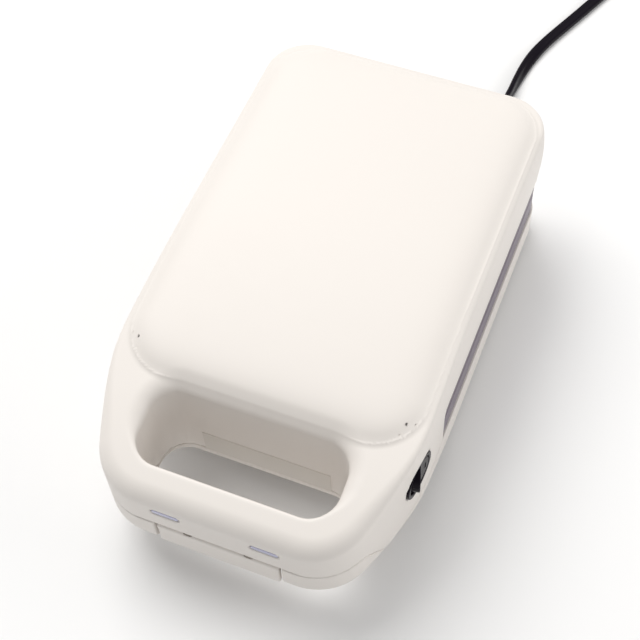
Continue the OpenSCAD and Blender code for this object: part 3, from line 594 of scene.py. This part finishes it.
def tube(name, path, section, ref=(0, 0, 1)):
    """A closed mesh: a section carried along a path, where section(k) gives (across, up) pairs."""
    p = np.asarray(path, float)
    t = np.gradient(p, axis=0)
    t /= np.linalg.norm(t, axis=1)[:, None]
    s = np.cross(np.array(ref, float), t)
    s /= np.linalg.norm(s, axis=1)[:, None]
    u = np.cross(t, s)
    verts, faces = [], []
    for k in range(len(p)):
        ring = np.array(section(k))
        verts.append(p[k] + ring[:, :1] * s[k] + ring[:, 1:] * u[k])
    m = len(verts[0])
    for k in range(len(p) - 1):
        for j in range(m):
            a, b = k * m + j, k * m + (j + 1) % m
            faces.append((a, b, b + m, a + m))
    verts = np.concatenate(verts)
    verts = np.concatenate([verts, [p[0], p[-1]]])
    last = (len(p) - 1) * m
    for j in range(m):
        faces.append((len(verts) - 2, (j + 1) % m, j))
        faces.append((len(verts) - 1, last + j, last + (j + 1) % m))
    mesh = bpy.data.meshes.new(name)
    mesh.from_pydata((verts * MM).tolist(), [], faces)
    mesh.shade_smooth()
    obj = bpy.data.objects.new(name, mesh)
    SCENE.collection.objects.link(obj)
    return obj


def figure_eight(w, t, n=28):
    """The section of a flat twin lead: two cores with a shallow groove between them."""
    out = []
    for k in range(n):
        a = 2 * math.pi * k / n
        way = 1 if math.cos(a) > 0 else -1
        x = (w - t) / 2 * way * min(1, abs(math.cos(a)) * 1.6) + t / 2 * math.cos(a)
        y = t / 2 * math.sin(a)
        pinch = 1 - 0.22 * math.exp(-(x / 0.9) ** 2)
        out.append((x, y * pinch))
    return out


def lathe(name, stations, path_at, axis, steps=40):
    """A turned piece: stations are (distance along the axis, radius)."""
    axis = Vector(axis).normalized()
    side = axis.orthogonal().normalized()
    other = axis.cross(side)
    verts, faces = [], []
    for along, r in stations:
        for j in range(steps):
            a = 2 * math.pi * j / steps
            verts.append(Vector(path_at) + axis * along + (side * math.cos(a) + other * math.sin(a)) * r)
    for k in range(len(stations) - 1):
        for j in range(steps):
            a, b = k * steps + j, k * steps + (j + 1) % steps
            faces.append((a, b, b + steps, a + steps))
    n = len(verts)
    verts.append(Vector(path_at) + axis * stations[0][0])
    verts.append(Vector(path_at) + axis * stations[-1][0])
    last = (len(stations) - 1) * steps
    for j in range(steps):
        faces.append((n, (j + 1) % steps, j))
        faces.append((n + 1, last + j, last + (j + 1) % steps))
    mesh = bpy.data.meshes.new(name)
    mesh.from_pydata([tuple(v * MM) for v in verts], [], faces)
    obj = bpy.data.objects.new(name, mesh)
    SCENE.collection.objects.link(obj)
    mesh.shade_smooth()
    return obj


def by_angle(obj, degrees=35):
    obj.data.set_sharp_from_angle(angle=math.radians(degrees))
    return obj


def make_lead():
    plug_at = Vector((COIL_C[0] + 41.6 * math.cos(PLUG_TURN), COIL_C[1] + 41.6 * math.sin(PLUG_TURN), 0))
    head = Vector((-math.sin(PLUG_TURN), math.cos(PLUG_TURN), 0))
    start = plug_at + head * PLUG_GAP
    tail = [tuple(plug_at + head * (PLUG_GAP * t) + Vector((0, 0, 5.4 + 2.1 * t))) for t in (0.35, 0.7, 1.0)]
    tail.append(tuple(start + head * 2 + Vector((0, 0, PLUG_Z))))
    path = smooth_path(ROUTE + coil_points() + tail)
    section = np.array(figure_eight(6.4, 3.2))

    def twisted(k):
        a = math.radians(np.interp(path[k][1], TURN_Y, TURN)) if k < 100 else 0.0
        c, s = math.cos(a), math.sin(a)
        return section @ np.array([[c, s], [-s, c]])

    cord = tube("power_lead", path, twisted)
    place(cord, "base", "cord_pvc", CORD, "power_cord", "cord_coil")
    length = float(np.linalg.norm(np.diff(path, axis=0), axis=1).sum()) * MM
    print("lead length", round(length, 4))

    # moulded strain relief with segments
    st = [(-4.9, 6.0), (-4.9, 6.2), (-2.9, 6.2), (-2.7, 4.6), (0.1, 4.6), (0.2, 5.6), (0.5, 6.0), (1.8, 6.0),
          (2.2, 5.6)]
    y = 2.3
    r0, r1, y0, y1 = 4.95, 3.95, 2.3, 27.6
    while y < 25.5:
        r = r0 + (r1 - r0) * (y - y0) / (y1 - y0)
        st += [(y, r - 0.15), (y + 0.3, r), (y + 2.3, r - 0.05), (y + 2.5, r - 0.75), (y + 3.1, r - 0.75)]
        y += 3.2
    st += [(27.0, 3.9), (27.7, 3.6), (28.0, 3.2)]
    st = sorted(st, key=lambda q: q[0])
    relief = lathe("strain_relief", st, (28, 119, 12), (0, 1, 0))
    by_angle(relief, 40)
    place(relief, "base", "cord_pvc", CORD, "cord_relief")

    # plug
    turn = Matrix.Rotation(PLUG_TURN + math.pi / 2, 4, "Z")
    turn.translation = start + Vector((0, 0, PLUG_Z))
    ribs = [(0, 2.6), (0, 3.4), (0.4, 3.7), (4, 4.0), (4.3, 3.4), (5.3, 3.4), (5.6, 4.2), (9.6, 4.4),
            (9.9, 3.8), (10.9, 3.8), (11.2, 4.6), (15.2, 4.8), (15.5, 4.1), (16.5, 4.1),
            (16.8, 5.0), (22.6, 5.3), (23, 5.6), (25.6, 5.6)]
    nose = lathe("plug_relief", ribs, (0, 0, 0), (1, 0, 0), 32)

    def body(p):
        x, y, z = p.T
        taper = 12 - 2.2 * ease(-x, -38, -25)
        thick = 7.2 - 0.8 * ease(-x, -36, -25) - 0.5 * np.exp(-((x - 35) / 5.5) ** 2) * (np.abs(y) < 9)
        cross = both(np.abs(y) - taper, np.abs(z) - thick, 4.5)
        return both(cross, slab(x, 25, 47), 1.6)

    block = surface("plug_shell", body, lines((23.5, 48.5, 0.8)), lines((-13, 13, 0.8)), lines((-8.3, 8.3, 0.8)))
    for o in (nose, block):
        o.matrix_world = Matrix.LocRotScale(turn.translation * MM, turn.to_quaternion(), None)
    bpy.context.view_layer.update()
    for o in (nose, block):
        o.data.transform(o.matrix_world)
        o.matrix_world = Matrix.Identity(4)
    place(nose, "base", "cord_pvc", CORD)
    place(block, "base", "cord_pvc", CORD, "plug_body")


make_lead()

# ---- covers ----

upper_x = mirror((0, 14, 2.0), (14, 29, 0.9), (29, 47, 1.3), (47, 60, 1.1), (60, 70.2, 0.8))
upper_y = lines((-121.5, -98, 0.8), (-98, -60, 1.0), (-60, -26, 1.5), (-26, 92, 3.0), (92, 121.5, 1.0))
upper_z = lines((17.6, 24, 0.8), (24, 33, 1.4), (33, 52, 0.8), (52, 67.3, 1.15), (67.3, 87.2, 0.83))
cover_top = surface("cover_top", upper_cover, upper_x, upper_y, upper_z, blur=0.4)
place(cover_top, "lid", "cream_plastic", CREAM, "upper_cover")

lower_x = mirror((0, 24, 2.0), (24, 32, 0.9), (32, 60, 1.5), (60, 69.4, 0.85))
lower_y = lines((-121.3, -108, 0.75), (-108, -66, 1.1), (-66, -10, 1.6), (-10, 88, 2.8), (88, 121.2, 1.0))
lower_z = lines((1.6, 6, 0.8), (6, 17, 1.2), (17, 39.4, 0.85))
cover_bottom = surface("cover_bottom", lower_cover, lower_x, lower_y, lower_z)
place(cover_bottom, "base", "cream_plastic", CREAM, "lower_cover")

flap = surface("latch_flap", latch, mirror((0, 11, 1.2), (11, 16, 0.5), (16, 25, 1.0), (25, 28, 0.4)),
               lines((-119.6, -111.6, 0.4)), lines((21.8, 38.4, 0.45)), blur=0.08)
place(flap, "latch", "cream_plastic", CREAM, "front_latch")

# ---- frames and plates ----

fx = mirror((0, 9, 1.8), (9, 11, 0.5), (11, 54, 2.0), (54, 67.4, 0.8))
fy = lines((-39, -22, 0.8), (-22, 92, 2.2), (92, 119.2, 0.9))
band_top = surface("frame_top", frame_upper, fx, fy, lines((32.9, 45, 0.8), (45, 50.8, 1.2)))
place(band_top, "lid", "frame_plastic", BAND, "upper_plate_frame")
# the lower band takes the lighter copy of the frame plastic, which is painted light
band_low = surface("frame_bottom", frame_lower, fx, fy, lines((16.2, 19, 1.4), (19, 34.2, 0.8)))
place(band_low, "base", "frame_plastic", BAND_PAINTED_LIGHTER, "lower_plate_frame")

px = mirror((0, 56, 1.1), (56, 61.2, 0.8))
py = lines((-25.4, -20, 0.7), (-20, 95, 1.1), (95, 100.4, 0.7))
plate_up = surface("plate_top", donut_plate, px, py, lines((33, 39, 0.6), (39, 47, 1.0)), blur=0.1)
place(plate_up, "lid", "plate_coating", COATING, "upper_donut_plate")


def donut_plate_low(p):
    m = p.copy()
    m[:, 2] = 2 * MEET_Z - m[:, 2]
    return donut_plate(m)


plate_dn = surface("plate_bottom", donut_plate_low, px, py, lines((20, 28, 1.0), (28, 34, 0.6)), blur=0.1)
place(plate_dn, "base", "plate_coating", COATING, "lower_donut_plate")

# ---- switch ----

sx, sy, sz = SWITCH_AT
body = surface("switch_ring", switch_body, lines((sx - 21, sx - 6, 1.0), (sx - 6, sx + 3, 0.4)),
               lines((sy - 13, sy + 13, 0.45)), lines((sz - 11.6, sz + 11.6, 0.45)), blur=0.06)
place(body, "lid", "black_plastic", BLACK, "switch_housing")
key = surface("rocker_key", rocker, lines((sx - 8, sx - 2, 0.6), (sx - 2, sx + 5, 0.3)),
              lines((sy - 9.6, sy + 9.6, 0.32)), lines((sz - 9.2, sz + 9.2, 0.32)), blur=0.05)
place(key, "rocker", "black_plastic", BLACK, "switch_rocker")


# ---- indicator windows ----


def windows(p):
    x, y, z = p.T
    w = rrect(np.abs(x) - 21.7, z - 49, 6.0, 1.3, 1.29)
    return both(w, slab(y, -118.75, -114.2), 0.35)


for side in (-1, 1):
    cx = side * 21.7
    win = surface("window_left" if side < 0 else "window_right", windows, lines((cx - 6.8, cx + 6.8, 0.35)),
                  lines((-119.4, -113.6, 0.4)), lines((47, 51, 0.3)), blur=0.05)
    place(win, "lid", "lens", LENS, *(["indicator_windows"] if side < 0 else []))

# ---- small pieces ----


# a foot's profile: height and radius, with a dimple in its underside
FOOT = [(0, 2.2), (0.35, 2.6), (0.0, 3.4), (0.0, 4.6), (0.35, 5.2), (0.9, 5.5), (3.0, 5.5)]


def feet():
    for i, (x, y) in enumerate(((-54, -4), (54, -4), (-54, 76), (54, 76))):
        foot = lathe(f"foot_{i + 1}", FOOT, (x, y, 0), (0, 0, 1), 36)
        by_angle(foot, 50)
        place(foot, "base", "rubber", RUBBER, *(["rubber_feet"] if i == 0 else []))


feet()

# the remaining CAD solids are shown as they are, each with its own finish
FINISH = {
    "cream_plastic": CREAM, "frame_plastic": BAND, "plate_coating": COATING, "steel": STEEL,
    "element_sheath": SHEATH, "pan_steel": PAN, "black_plastic": BLACK, "lens": LENS, "board": BOARD,
    "ceramic": CERAMIC, "wire_sleeve": WIRE, "rubber": RUBBER, "label": LABEL, "cord_pvc": CORD,
    "brass": BRASS,
}
parts = {s["node"]: s for s in frame["record"]["subparts"]}
for name, obj in frame["nodes"].items():
    if obj.hide_render:
        continue
    slot_name = parts[name].get("material_slot") or "steel"
    obj.data.materials.clear()
    obj.data.materials.append(FINISH[slot_name])

# ---- studio ----


def area(name, at, towards, size, power, color):
    data = bpy.data.lights.new(name, "AREA")
    data.energy, data.size, data.color = power, size, color
    obj = bpy.data.objects.new(name, data)
    SCENE.collection.objects.link(obj)
    obj.location = at
    obj.rotation_euler = (Vector(towards) - Vector(at)).to_track_quat("-Z", "Y").to_euler()


def studio():
    mesh = bpy.data.meshes.new("floor")
    mesh.from_pydata([(-6, -6, 0), (6, -6, 0), (6, 6, 0), (-6, 6, 0)], [], [(0, 1, 2, 3)])
    floor = bpy.data.objects.new("floor", mesh)
    SCENE.collection.objects.link(floor)
    paint = principled("floor_paint", (0.92, 0.92, 0.92), 0.8, scale=60, bump=0.0, tint=0.002)
    mesh.materials.append(paint)
    world = bpy.data.worlds.new("studio")
    SCENE.world = world
    world.use_nodes = True
    back = next(n for n in world.node_tree.nodes if n.type == "BACKGROUND")
    back.inputs["Color"].default_value = (1, 1, 1, 1)
    back.inputs["Strength"].default_value = 0.45
    area("key", (-0.7, 0.5, 1.5), (0, 0, 0.04), 1.3, 23.5, (1.0, 0.99, 0.975))
    area("right", (1.2, 0.35, 0.6), (0, 0, 0.04), 0.8, 4.5, (1.0, 0.99, 0.98))


studio()
